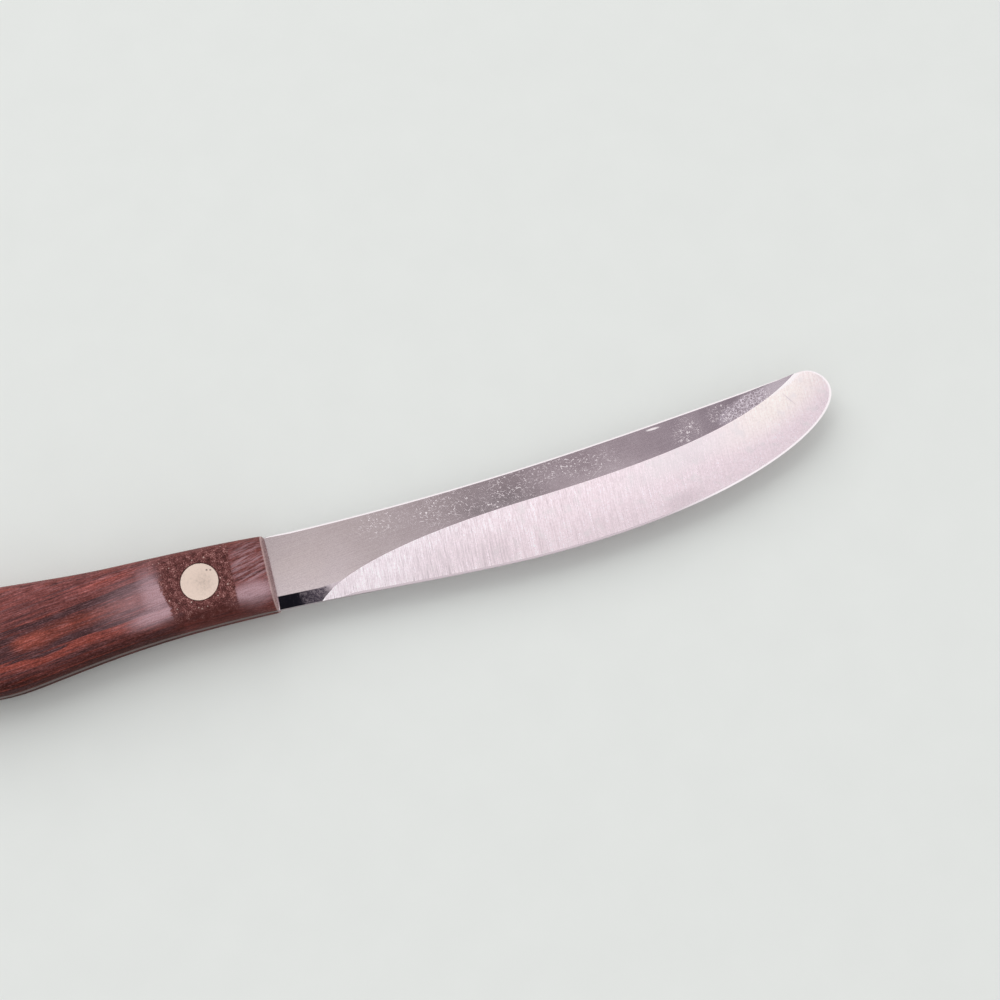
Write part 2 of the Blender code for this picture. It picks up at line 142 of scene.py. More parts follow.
class RivetLooks(bpy.types.PropertyGroup):
    """Shape and finish of the cutler's rivets"""

    metal_colour: a_colour("Metal colour", "Nickel silver of pins and tubes", (0.86, 0.70, 0.61))
    head_thickness: a_length("Head thickness", "Thickness of a rivet's head", 0.0013)
    rim_ease: a_length("Rim ease", "Rounding of a head's rim", 0.00015)
    pin_diameter: a_length("Pin diameter", "Diameter of the solid half's shank", 0.0032)
    tube_wall: a_length("Tube wall", "Wall of the hollow half's shank", 0.00073)
    fit: a_length("Fit", "Gap between pin and tube", 0.00005)
    sides: IntProperty(name="Sides", description="Facets round a rivet", default=96, min=24)


class StageLooks(bpy.types.PropertyGroup):
    """Floor, light and camera"""

    floor_colour: a_colour("Floor colour", "Plain pale floor", (0.78, 0.80, 0.78))
    floor_size: a_length("Floor size", "Side of the floor", 6.0)
    light_level: a_share("Light level", "Soft light from all round", 0.70)
    sky_level: a_share("Sky level", "Brightness that steel mirrors", 1.0)
    key_power: a_number("Key power", "Power of the soft light", 85.5, unit="POWER")
    aim_ahead: a_length("Aim ahead", "Point looked at, ahead of the handle's front end", 0.05052)
    aim_across: a_length("Aim across", "Point looked at, from the axis to the spine", 0.00376)
    distance: a_length("Distance", "From the camera to the point looked at", 0.3557)
    azimuth: an_angle("Azimuth", "Turn of the camera about Z", -14.5)
    elevation: an_angle("Elevation", "Height of the camera", 73.5)
    lens: a_number("Lens", "Focal length on a 36 mm sensor", 60.0, unit="CAMERA")


# Node trees

def rgba(colour):
    """A colour with its alpha, or the value that gives the colour."""
    return colour if isinstance(colour, Value) else (*colour, 1.0)


def shade(colour, share):
    """A colour times a share, up to white."""
    return tuple(min(1.0, share * c) for c in colour)


# Range that holds most values of a noise
NOISE = (0.3, 0.7)


class Patch:
    """A soft oval on a pattern: its middle, its half-lengths, its turn in degrees and its softness."""

    def __init__(self, middle, reach, turn=0.0, softness=0.5):
        self.middle = middle
        self.reach = reach
        self.turn = turn
        self.softness = softness


class Value:
    """An output of one of a tree's nodes. Sums with values add nodes to the tree."""

    def __init__(self, tree, socket):
        self.tree = tree
        self.socket = socket

    def __add__(self, other):
        return self.tree.math("ADD", self, other)

    def __radd__(self, other):
        return self.tree.math("ADD", other, self)

    def __sub__(self, other):
        return self.tree.math("SUBTRACT", self, other)

    def __rsub__(self, other):
        return self.tree.math("SUBTRACT", other, self)

    def __mul__(self, other):
        return self.tree.math("MULTIPLY", self, other)

    def __truediv__(self, other):
        return self.tree.math("DIVIDE", self, other)

    def __rtruediv__(self, other):
        return self.tree.math("DIVIDE", other, self)

    def __abs__(self):
        return self.tree.math("ABSOLUTE", self)


class Tree:
    """A node tree being built. Inputs that are values of it are linked, and others are set."""

    # Half-depth of a patch, which reaches through all that it is laid on
    patch_depth = 40.0

    def __init__(self, data, material=None):
        self.data = data
        self.material = material

    def add(self, kind, inputs=None, **settings):
        node = self.data.nodes.new("ShaderNode" + kind)
        for name, setting in settings.items():
            setattr(node, name, setting)
        self.fill(node, inputs or {})
        return node

    def value(self, output, kind, inputs=None, **settings):
        """One output of a new node."""
        return Value(self, self.add(kind, inputs, **settings).outputs[output])

    def fill(self, node, inputs):
        for key, value in inputs.items():
            self.feed(node.inputs[key], value)

    def feed(self, socket, value):
        if isinstance(value, Value):
            self.data.links.new(value.socket, socket)
        else:
            socket.default_value = value

    def math(self, operation, a, b=0.0):
        return self.value(0, "Math", {0: a, 1: b}, operation=operation)

    def larger(self, a, b):
        return self.math("MAXIMUM", a, b)

    def vector(self, operation, a, b=(0.0, 0.0, 0.0)):
        output = "Value" if operation == "LENGTH" else "Vector"
        return self.value(output, "VectorMath", {0: a, 1: b}, operation=operation)

    def scaled(self, vector, scale):
        return self.value("Vector", "VectorMath", {0: vector, "Scale": scale}, operation="SCALE")

    def parts(self, vector):
        """The X, Y and Z of a vector."""
        return [Value(self, socket) for socket in self.add("SeparateXYZ", {0: vector}).outputs]

    def ease(self, value, low, high, start=0.0, end=1.0, kind="SMOOTHSTEP"):
        """Value mapped smoothly from low..high to start..end."""
        inputs = {"Value": value, "From Min": low, "From Max": high, "To Min": start, "To Max": end}
        return self.value("Result", "MapRange", inputs, interpolation_type=kind)

    def span(self, value, low=0.0, high=1.0, start=0.0, end=1.0):
        """Value mapped straight from low..high to start..end."""
        return self.ease(value, low, high, start, end, kind="LINEAR")

    def blend(self, share, a, b, mode="MIX"):
        inputs = {0: share, 6: rgba(a), 7: rgba(b)}
        return self.value(2, "Mix", inputs, data_type="RGBA", blend_type=mode)

    def tint(self, colour, value):
        """A colour times a grey value."""
        return self.blend(1.0, colour, value, "MULTIPLY")

    def ramp(self, value, stops):
        node = self.add("ValToRGB", {0: value})
        elements = node.color_ramp.elements
        while len(elements) < len(stops):
            elements.new(1.0)
        for element, (place, colour) in zip(elements, stops):
            element.position = place
            element.color = rgba(colour)
        return Value(self, node.outputs["Color"])

    def noise(self, vector, scale, detail=2.0, roughness=0.5, output="Fac"):
        inputs = {"Vector": vector, "Scale": scale, "Detail": detail, "Roughness": roughness}
        return self.value(output, "TexNoise", inputs)

    def bump(self, height, depth, strength):
        """A normal from a height of 0 to 1, as deep as depth in metres."""
        inputs = {"Height": height, "Distance": depth, "Strength": strength}
        return self.value("Normal", "Bump", inputs)

    def object_places(self):
        return self.value("Object", "TexCoord")

    def millimetres_from(self, place):
        """Object coordinates in millimetres from a place."""
        inputs = {
            "Vector": self.object_places(),
            "Location": tuple(-MM_PER_M * place),
            "Scale": (MM_PER_M, MM_PER_M, MM_PER_M),
        }
        return self.value("Vector", "Mapping", inputs)

    def turned(self, vector, angle):
        """Coordinates turned about Z."""
        return self.value("Vector", "Mapping", {"Vector": vector, "Rotation": (0.0, 0.0, angle)})

    def effect(self, name, vector, **values):
        """One of the shared effects, with its own values. Its group is built when it is first used."""
        group = bpy.data.node_groups.get(name) or EFFECTS[name]()
        inputs = {key.capitalize(): value for key, value in values.items()}
        return self.value(0, "Group", {"Vector": vector, **inputs}, node_tree=group)

    def oval(self, places, patch):
        """How far a place is inside a patch, from 0 to 1."""
        inputs = {
            "Vector": places,
            "Location": (*patch.middle, 0.0),
            "Rotation": (0.0, 0.0, math.radians(patch.turn)),
            "Scale": (*patch.reach, self.patch_depth),
        }
        own = self.value("Vector", "Mapping", inputs, vector_type="TEXTURE")
        return self.effect("oval", own, softness=patch.softness)

    def finished(self, inputs):
        """The tree's material, with its Principled BSDF fed."""
        self.fill(self.data.nodes["Principled BSDF"], inputs)
        return self.material


def new_group(name, output, *values):
    """A shader node group's tree, its output to be fed, its vector and its named values."""
    group = bpy.data.node_groups.new(name, "ShaderNodeTree")
    group.interface.new_socket("Vector", in_out="INPUT", socket_type="NodeSocketVector")
    for value in values:
        group.interface.new_socket(value, in_out="INPUT", socket_type="NodeSocketFloat")
    group.interface.new_socket(output, in_out="OUTPUT", socket_type="NodeSocketFloat")
    tree = Tree(group)
    sockets = group.nodes.new("NodeGroupInput").outputs[:1 + len(values)]
    result = group.nodes.new("NodeGroupOutput").inputs[0]
    return (tree, result, *(Value(tree, socket) for socket in sockets))


def streaks_group():
    """Long lines along X, such as grain, brush lines and polishing marks."""
    names = ("Length", "Width", "Contrast")
    tree, result, vector, length, width, contrast = new_group("streaks", "Value", *names)
    pitch = tree.value(0, "CombineXYZ", {0: length, 1: width, 2: width})
    stretched = tree.vector("DIVIDE", vector, pitch)
    noise = tree.noise(stretched, 1.0, detail=4.0, roughness=0.62)
    half = 0.5 / contrast
    tree.feed(result, tree.span(noise, 0.5 - half, 0.5 + half))
    return tree.data


def oval_group():
    """A soft-edged oval. The vector is in the oval's own units, with its rim at 1."""
    tree, result, vector, softness = new_group("oval", "Mask", "Softness")
    distance = tree.vector("LENGTH", vector)
    tree.feed(result, tree.ease(distance, 1.0 - softness, 1.0 + softness, 1.0, 0.0))
    return tree.data


def scratches_group():
    """Short curved hairlines in all directions."""
    tree, result, vector, length, width, share = new_group("scratches", "Mask", "Length", "Width", "Share")
    scale = 1.0 / length
    scaled = tree.scaled(vector, scale)
    bent = tree.vector("ADD", scaled, tree.noise(scaled, 0.8, output="Color"))
    inputs = {"Vector": bent, "Scale": 1.0}
    distance = tree.value("Distance", "TexVoronoi", inputs, feature="DISTANCE_TO_EDGE")
    line = tree.ease(distance, 0.0, width * scale, 1.0, 0.0)
    breaks = tree.noise(scaled, 2.3, detail=1.0)
    cut = 0.75 - share * 0.5
    kept = tree.ease(breaks, cut, cut + 0.06)
    tree.feed(result, line * kept)
    return tree.data


def specks_group():
    """Scattered round dots, such as pits, pores and grit."""
    tree, result, vector, spacing, size, share = new_group("specks", "Mask", "Spacing", "Size", "Share")
    scale = 1.0 / spacing
    inputs = {"Vector": tree.scaled(vector, scale), "Scale": 1.0}
    cells = tree.add("TexVoronoi", inputs, feature="F1").outputs
    distance = Value(tree, cells["Distance"])
    chance = tree.value(0, "SeparateColor", {0: Value(tree, cells["Color"])})
    radius = size * scale * 0.5
    dot = tree.ease(distance, radius * 0.5, radius, 1.0, 0.0)
    kept = tree.math("LESS_THAN", chance, share)
    tree.feed(result, dot * kept)
    return tree.data


EFFECTS = {
    "streaks": streaks_group,
    "oval": oval_group,
    "scratches": scratches_group,
    "specks": specks_group,
}


def new_material(name):
    """The node tree of a new material."""
    material = bpy.data.materials.new(name)
    material.use_nodes = True
    return Tree(material.node_tree, material)


# Steel

# Scuffed places on the flats: middle and half-lengths in millimetres from the joint
SCUFFS = (
    ((24.0, 5.0), (4.5, 2.4)),
    ((38.2, 5.0), (6.5, 3.0)),
    ((47.8, 3.6), (3.6, 1.8)),
    ((54.0, 5.8), (6.0, 2.6)),
    ((63.0, 7.6), (7.0, 2.2)),
    ((71.0, 6.6), (5.0, 2.4)),
    ((93.5, 8.2), (2.4, 2.4)),
    ((101.4, 10.4), (2.0, 2.0)),
)
SCUFF_SOFTNESS = 0.95
LEAST_SCUFFED = 0.05

# Marks on the steel, with lengths in millimetres and turns in radians
HAIR_TURNS = (-0.55, 0.08, 0.42, 1.05)
HAIRS = {"width": 0.10, "contrast": 2.2}
DOTS = {"spacing": 0.8, "size": 0.32, "share": 0.14}
DENTS = {"spacing": 1.5, "size": 0.50, "share": 0.26}
CURLS = {"length": 1.6, "width": 0.07, "share": 0.34}
SWIRLS = {"length": 0.8, "width": 0.10, "share": 0.72}
POLISH_LINES, POLISH_TURN = {"length": 12.0, "width": 0.18, "contrast": 2.8}, -0.11
STONE_LINES, STONE_TURN = {"length": 1.2, "width": 0.12, "contrast": 1.8}, 1.4
NICKS = {"spacing": 2.4, "size": 1.0, "share": 0.22}
BRUSH_CONTRAST, BRUSH_TURN = 3.2, math.radians(93.0)

# Patches of the steel, in millimetres from the joint
BRIGHT = Patch((86.3, 10.75), (1.3, 0.20), turn=3.0, softness=0.4)
RUBBED = Patch((107.6, 10.9), (6.5, 2.1), turn=20.0, softness=0.26)
CREAM = Patch((114.4, 10.2), (13.0, 4.0), turn=23.0, softness=0.75)
HAIRLINE = Patch((116.9, 10.2), (1.7, 0.09), turn=-56.0, softness=0.5)
SMUDGE = Patch((88.2, -6.2), (4.0, 1.6), turn=14.0, softness=0.6)
SHADOW = Patch((42.5, -6.8), (10.0, 3.2), softness=0.75)
BREATH = Patch((91.0, 3.2), (12.0, 2.6), turn=12.0, softness=0.9)

# Where finishes come and go along and across the blade, in millimetres from the joint
DULL_START, DULL_SLANT = (2.7, 3.5), 0.25
BRUSH_FADE = (30.0, 108.0)
PALE_FADE = (15.0, 60.0)
BREATH_START = (20.0, 50.0)
HEEL_SIDE_ALONG, HEEL_SIDE_ACROSS = (62.0, 30.0), (-5.5, -9.0)
# Where painted shade darkens the bevel along the lower edge, short of the tip
EDGE_SHADE_ALONG, EDGE_SHADE_ACROSS = (80.0, 100.0), (0.0, 4.0)
HANDLED_FADE = (-1.5, 0.5)
TARNISH = (0.29, 0.245, 0.215)

# Depths of marks, in metres
SCRATCH_DEPTH = 0.00002
BRUSH_DEPTH = 0.00001


def flat_steel(looks):
    """Polished flats with scuffs, fine polishing lines and one rubbed patch near the tip."""
    tree = new_material("polished_steel")
    places = tree.millimetres_from(JOINT)
    scuffed = LEAST_SCUFFED
    for middle, reach in SCUFFS:
        scuffed = tree.larger(scuffed, tree.oval(places, Patch(middle, reach, softness=SCUFF_SOFTNESS)))
    length = looks.scratch_length * MM_PER_M
    marks = tree.effect("specks", places, **DOTS)
    for angle in HAIR_TURNS:
        hairs = tree.effect("streaks", tree.turned(places, angle), length=length, **HAIRS)
        marks = tree.larger(marks, tree.ease(hairs, 0.85, 0.95))
    curls = tree.effect("scratches", places, **CURLS)
    dents = tree.effect("specks", places, **DENTS)
    marks = tree.larger(marks, tree.larger(curls, dents)) * scuffed
    marks = tree.larger(marks, tree.oval(places, BRIGHT))

    rubbed = tree.oval(places, RUBBED)
    mottle = tree.noise(places, 2.8, detail=3.0, roughness=0.75)
    swirls = tree.effect("scratches", places, **SWIRLS)
    rub = rubbed * (tree.span(mottle, 0.36, 0.64, 0.0, 0.52) + swirls * 0.62)
    x, _, _ = tree.parts(places)
    middle, reach = RUBBED.middle[0], RUBBED.reach[0]
    rub = tree.larger(rub, tree.ease(x, middle, middle + reach, 0.0, 0.38))
    rim = rubbed * (1.0 - rubbed) * tree.ease(x, middle, middle - reach, 0.0, 2.4)

    polish = tree.effect("streaks", tree.turned(places, POLISH_TURN), **POLISH_LINES)
    tone = tree.blend(polish * 0.24, looks.flat_colour, looks.scratch_colour)
    grain = tree.noise(places, 3.2)
    tone = tree.tint(tone, tree.span(grain, *NOISE, 0.94, 1.04))
    tone = tree.blend(tree.larger(rub, rim), tone, looks.haze_colour)
    cloud = tree.noise(places, 0.11, detail=3.0)
    gloss = tree.span(cloud, *NOISE, looks.flat_roughness - 0.02, looks.flat_roughness + 0.04)
    gloss += marks * 0.36
    return tree.finished({
        "Base Color": tree.blend(marks, tone, looks.scratch_colour),
        "Roughness": gloss + rub * 0.20,
        "Normal": tree.bump(1.0 - marks, SCRATCH_DEPTH, 0.4),
        "Metallic": 1.0,
    })


def hollow_steel(looks):
    """Satin hollow grind, brushed across the blade by the wheel, coarsest towards the handle."""
    tree = new_material("brushed_steel")
    places = tree.millimetres_from(JOINT)
    x, y, _ = tree.parts(places)
    across = tree.turned(places, BRUSH_TURN)
    length, pitch = looks.brush_length * MM_PER_M, looks.brush_pitch * MM_PER_M
    coarse = tree.effect("streaks", across, length=length, width=pitch, contrast=BRUSH_CONTRAST)
    fine = tree.effect("streaks", across, length=length / 2, width=pitch / 2, contrast=BRUSH_CONTRAST)
    lines = coarse * 0.5 + fine * 0.5
    heel_side = tree.ease(y, *HEEL_SIDE_ACROSS) * tree.ease(x, *HEEL_SIDE_ALONG)
    strength = tree.ease(x, *BRUSH_FADE, 1.0, 0.36)
    strength += heel_side * 0.45

    pale = tree.ease(x, *PALE_FADE, 1.0, 0.0)
    tone = tree.blend(pale, looks.hollow_colour, shade(looks.hollow_colour, 1.06))
    cream = tree.oval(places, CREAM)
    tone = tree.blend(cream, tone, looks.cream_colour)
    darkest = 1.0 - strength * 0.27
    brightest = 1.0 + strength * 0.20
    tone = tree.tint(tone, tree.span(lines, 0.0, 1.0, darkest, brightest))
    grain = tree.noise(places, 2.6)
    tone = tree.tint(tone, tree.span(grain, *NOISE, 0.92, 1.07))
    breath = tree.noise(places, 0.34, detail=3.0, roughness=0.6)
    breath = tree.ease(breath, 0.50, 0.72) * tree.ease(x, *BREATH_START, 0.15, 0.55)
    tone = tree.blend(breath, tone, looks.breath_colour)
    near_grind = tree.oval(places, BREATH)
    tone = tree.blend(near_grind * 0.60, tone, looks.breath_colour)

    dim = tree.ease(tree.noise(places, 0.09, detail=3.0), 0.45, 0.72, 0.0, 0.16)
    dim += tree.oval(places, SMUDGE) * 0.42
    # Painted shade on the grind near the heel side, from SHADOW here and heel_side below
    dim += tree.oval(places, SHADOW) * 0.30
    dim += heel_side * 0.08
    dim *= 1.0 - cream
    dim = tree.larger(dim, tree.oval(places, HAIRLINE) * 0.75)
    gloss = tree.span(lines, 0.0, 1.0, looks.hollow_roughness + 0.05, looks.hollow_roughness - 0.05)
    return tree.finished({
        "Base Color": tree.blend(dim, tone, looks.flat_colour),
        "Roughness": gloss + cream * 0.10,
        "Normal": tree.bump(lines * strength, BRUSH_DEPTH, 0.35),
        "Metallic": 1.0,
    })


def edge_steel(looks):
    """Stoned bevel of the cutting edge, with painted shade along the lower edge that leaves it brightest
    round the tip, and the chamfered spine and rim.
    """
    tree = new_material("stoned_steel")
    places = tree.millimetres_from(JOINT)
    x, y, _ = tree.parts(places)
    marks = tree.effect("streaks", tree.turned(places, STONE_TURN), **STONE_LINES)
    # Painted shade on the bevel along the lower edge, short of the tip, broken by nicks
    used = tree.ease(x, *EDGE_SHADE_ALONG, 0.95, 0.0)
    used *= tree.ease(y, *EDGE_SHADE_ACROSS, 1.0, 0.0)
    used *= 1.0 - tree.effect("specks", places, **NICKS)
    tone = tree.blend(marks * 0.2, shade(looks.scratch_colour, 1.07), looks.flat_colour)
    tone = tree.blend(used, tone, shade(looks.flat_colour, 0.85))
    handled = tree.ease(x, *HANDLED_FADE, 1.0, 0.0)
    tarnished = tuple(share * c for share, c in zip(TARNISH, looks.flat_colour))
    gloss = tree.span(marks, 0.0, 1.0, 0.16, 0.30)
    return tree.finished({
        "Base Color": tree.blend(handled, tone, tarnished),
        "Roughness": gloss + handled * 0.2,
        "Metallic": 1.0,
    })


def heel_steel(looks):
    """Mirror polish of the relieved heel, dulled where the grinding wheel touched down."""
    tree = new_material("mirror_steel")
    places = tree.millimetres_from(JOINT)
    x, y, _ = tree.parts(places)
    grit = tree.noise(places, 1.6, detail=3.0, roughness=0.7)
    slant = x + y * DULL_SLANT
    dull = tree.ease(slant, *DULL_START) * tree.ease(grit, 0.32, 0.68, 0.25, 1.0)
    return tree.finished({
        "Base Color": tree.blend(dull, looks.flat_colour, shade(looks.flat_colour, 0.86)),
        "Roughness": tree.span(dull, 0.0, 1.0, 0.035, 0.115),
        "Metallic": 1.0,
    })


# Wood

PORE_COLOUR = (0.030, 0.013, 0.012)
# Colour of painted glints in the bare wood
PAINTED_GLINT_COLOUR = (0.66, 0.47, 0.42)
PORE_DEPTH = 0.00012

# Places along and across the grain, in millimetres from the front rivet
RIVETS = (0.0, RIVET_SPAN * MM_PER_M)
FRONT_END = (JOINT.x - FRONT_RIVET.x) * MM_PER_M
HALF_THICKNESS = (SCALE_HIGH.z - BLADE_MID_HEIGHT) * MM_PER_M
FIGURE_REACH = 12.0
VEIN_MIDDLE = 1.0
SPREAD = (-42.0, -12.0)
SAG_MIDDLE, SAG_REACH, SAG_DEPTH = -34.0, 10.0, 1.25
DARK_START, HEART_START, VEINS_END = (-56.0, -50.0), (-40.9, -38.5), (-10.5, -4.5)
# Painted light on the upper side, growing towards the back end
PAINTED_UPPER_LIGHT = (-24.0, -42.0)
SWAY_STRETCH = (0.05, 0.13, 0.13)

# Lines in the wood, with lengths in millimetres
FRAY = {"length": 9.0, "width": 0.40, "contrast": 2.4}
GRAIN_LINES = {"length": 24.0, "width": 0.62, "contrast": 2.6}
FINE_LINES = {"length": 3.4, "width": 0.22, "contrast": 2.6}
RIBS = {"length": 13.0, "width": 0.42, "contrast": 2.8}
# Streaks of painted sheen at the front end
SHEEN_RIBBONS, SHEEN_RIBBON_TURN = {"length": 6.0, "width": 0.55, "contrast": 2.8}, math.radians(-15.0)
PORES = {"length": 0.6, "width": 0.15, "contrast": 2.8}
# Painted glints: bright flecks of reflected light in the bare wood
PAINTED_GLINTS = {"spacing": 0.62, "size": 0.38, "share": 0.08}

# Patches of the wood, in millimetres from the front rivet
EMBER = Patch((-36.0, -3.2), (2.9, 1.2), turn=9.0, softness=0.7)
# Painted highlight on the upper side, behind the front rivet
PAINTED_UPPER_HIGHLIGHT = Patch((-20.5, 4.6), (6.5, 1.2), turn=4.3, softness=0.7)
# Painted sheen: places where reflections of light on the lacquer are painted in
SHEEN = Patch((-9.2, -0.3), (3.6, 4.8), turn=9.0, softness=0.8)
SHEEN_TRAIL = Patch((-11.5, -0.5), (8.0, 4.1), turn=9.0, softness=0.8)
LOWER_SHEEN = Patch((-9.6, -4.8), (5.6, 1.7), turn=6.0, softness=0.7)
FRONT_SHEEN = Patch((10.2, -4.9), (4.6, 2.2), softness=0.6)
FRONT_SHEEN_STREAKS = Patch((10.8, 0.5), (3.9, 5.0), softness=0.5)
# Painted shade on the lower slope below the front rivet
PAINTED_LOWER_SHADE = Patch((1.0, -7.4), (10.0, 1.9), softness=0.6)
GRIME_REACH, GRIME_SOFTNESS = 4.15, 0.04

# The bare band round a rivet, in millimetres
BARE_LEFT_EXTRA, BARE_SLANT, BARE_RAGGED = 1.0, 0.20, 0.8
BARE_LOWER, BARE_UPPER = (-9.4, -4.6), (4.5, 8.0)
BARE_BELOW_LAND = (2.4, 0.9)
RUBBED_EDGE, END_GRAIN = (0.72, 0.46), (0.30, 0.15)


def depth_from_tang(tree, places):
    """Distance from the middle of the tang, which is greatest on the lands."""
    _, _, z = tree.parts(places)
    return abs(z + HALF_THICKNESS)


def figure_stops(looks, vein):
    """Colours across the grain, from the lower edge up, with the veins as far apart as twice vein. The lowest
    stops are painted shade along the lower edge, and the upper stops are lighter, painted light on the upper
    side.
    """

    def stop(distance, colour, share=1.0):
        return (0.5 + distance / (2 * FIGURE_REACH), shade(colour, share))

    return [
        # Painted shade along the lower edge
        stop(-FIGURE_REACH, looks.lower_shade_colour, 0.65),
        stop(-vein - 5.5, looks.lower_shade_colour),
        stop(-vein - 3.0, looks.body_colour, 0.80),
        stop(-vein - 1.6, looks.ember_colour, 0.95),
        stop(-vein - 0.8, looks.ember_colour),
        stop(-vein - 0.45, looks.vein_colour),
        stop(-vein + 0.85, looks.vein_colour, 1.05),
        stop(-vein + 1.7, looks.heart_colour, 0.72),
        stop(0.0, looks.heart_colour, 0.94),
        stop(vein - 1.9, looks.heart_colour, 0.74),
        stop(vein - 0.9, looks.vein_colour, 1.15),
        stop(vein + 0.40, looks.vein_colour),
        stop(vein + 0.75, looks.body_colour, 0.95),
        stop(vein + 3.0, looks.body_colour, 1.20),
        stop(FIGURE_REACH, looks.body_colour, 1.15),
    ]


def figure(tree, places, looks):
    """Colour of the wood: orange heartwood between two dark veins, and fine streaks along the grain, with
    painted shade towards the lower edge, painted light and a painted highlight on the upper side, and painted
    sheen on pale streaks.
    """
    along = tree.turned(places, -looks.grain_angle)
    x, y, z = tree.parts(along)
    sway = tree.noise(tree.vector("MULTIPLY", along, SWAY_STRETCH), 1.0)
    fray = tree.effect("streaks", along, **FRAY)
    across = y + tree.span(sway, 0.0, 1.0, -0.8, 0.8)
    across += tree.span(fray, 0.0, 1.0, -0.45, 0.45)
    across += z * 0.45
    vein = looks.vein_gap * MM_PER_M / 2
    ring = across - VEIN_MIDDLE
    sag = tree.ease(abs(x - SAG_MIDDLE), 0.0, SAG_REACH, SAG_DEPTH, 0.0)
    ring += sag * tree.ease(ring, 0.0, -vein)
    ring = ring / tree.span(x, *SPREAD, 0.98, 1.20)

    tone = tree.ramp(tree.span(ring, -FIGURE_REACH, FIGURE_REACH), figure_stops(looks, vein))
    ragged = x + tree.span(fray, 0.0, 1.0, -1.2, 1.2)
    inside = tree.ease(abs(ring), vein - 0.8, vein + 0.3, 1.0, 0.0)
    ended = tree.ease(ragged, *HEART_START, 0.9, 0.0)
    ended *= tree.ease(ragged, *DARK_START)
    tone = tree.blend(inside * ended, tone, looks.vein_colour)
    ember = tree.oval(places, EMBER) * 0.8
    tone = tree.blend(ember, tone, shade(looks.heart_colour, 1.5))
    tone = tree.blend(tree.ease(ragged, *VEINS_END, 0.0, 0.85), tone, looks.body_colour)

    lines = tree.effect("streaks", along, **GRAIN_LINES)
    tone = tree.blend(tree.ease(lines, 0.55, 0.90, 0.0, 0.72), tone, looks.vein_colour)
    tone = tree.blend(tree.ease(lines, 0.45, 0.10, 0.0, 0.55), tone, looks.ember_colour)
    fine = tree.effect("streaks", along, **FINE_LINES)
    tone = tree.tint(tone, tree.span(fine, 0.0, 1.0, 0.52, 1.46))
    # Painted sheen on the pale streaks of the grain, strongest on the lands
    land_sheen = tree.ease(depth_from_tang(tree, places), 3.6, HALF_THICKNESS, 0.03, 0.16)
    land_sheen *= tree.ease(fine, 0.55, 1.0)
    tone = tree.blend(land_sheen, tone, looks.painted_sheen_colour)
    pores = tree.effect("streaks", along, **PORES)
    tone = tree.tint(tone, tree.span(pores, 0.0, 1.0, 1.38, 0.60))
    speckle = tree.noise(places, 2.4, roughness=0.7)
    tone = tree.tint(tone, tree.span(speckle, *NOISE, 0.74, 1.28))

    above = tree.ease(ring, vein + 0.5, vein + 2.0)
    ribs = tree.effect("streaks", along, **RIBS)
    dark_rib = tree.ease(ribs, 0.45, 0.10, 0.0, 0.50) * above
    tone = tree.blend(dark_rib, tone, looks.vein_colour)
    # Paler ribs in the painted sheen colour, on the upper side
    sheen_rib = tree.ease(ribs, 0.52, 0.95, 0.0, 0.09) * above
    tone = tree.blend(sheen_rib, tone, looks.painted_sheen_colour)
    # Painted light: the upper side lighter towards the back end, and a painted highlight behind the front
    # rivet
    upper = tree.ease(ring, vein + 3.0, vein + 5.0)
    lighter = tree.ease(x, *PAINTED_UPPER_LIGHT, 0.0, 0.22) * upper
    lighter += tree.oval(places, PAINTED_UPPER_HIGHLIGHT) * 0.45
    tone = tree.tint(tone, 1.0 + lighter)
    return tone, fine, pores


def bare_share(tree, places, looks):
    """Where the lacquer is gone: a ragged band of the land across each rivet, lost towards the lower edge."""
    x, y, _ = tree.parts(places)
    reach = looks.bare_reach * MM_PER_M
    ragged = tree.noise(places, 0.9, detail=4.0, roughness=0.65)
    ragged = tree.span(ragged, 0.25, 0.75, -BARE_RAGGED, BARE_RAGGED)
    slant = ragged + y * BARE_SLANT
    softness = tree.ease(y, 0.5, 5.5, 0.30, 2.6)
    bands = []
    for rivet in RIVETS:
        offset = x - rivet
        left = offset + (reach + BARE_LEFT_EXTRA) + slant
        left = tree.ease(left, softness * -1.0, softness)
        right = reach - (offset + ragged * 0.35)
        bands.append(left * tree.ease(right, -0.2, 0.25))
    band = tree.larger(*bands)
    height = y + ragged
    band *= tree.ease(height, *BARE_LOWER)
    band *= tree.ease(height, *BARE_UPPER, 1.0, 0.45)
    depth = depth_from_tang(tree, places) + ragged * 0.6
    low, high = (HALF_THICKNESS - below for below in BARE_BELOW_LAND)
    return band * tree.ease(depth, low, high)


def painted_sheen_share(tree, places, fine):
    """Where a sheen of reflected light on the lacquer is painted in: on both sides of the front rivet, and in
    ribbons at the front end.
    """
    painted_sheen = tree.larger(tree.oval(places, SHEEN), tree.oval(places, SHEEN_TRAIL) * 0.48)
    painted_sheen = tree.larger(painted_sheen, tree.oval(places, LOWER_SHEEN))
    painted_sheen = tree.larger(painted_sheen, tree.oval(places, FRONT_SHEEN))
    painted_sheen *= tree.span(fine, 0.0, 1.0, 0.58, 1.0)
    ribbons = tree.effect("streaks", tree.turned(places, SHEEN_RIBBON_TURN), **SHEEN_RIBBONS)
    ribbons = tree.oval(places, FRONT_SHEEN_STREAKS) * tree.ease(ribbons, 0.30, 0.85, 0.03, 0.55)
    return tree.larger(painted_sheen, ribbons)


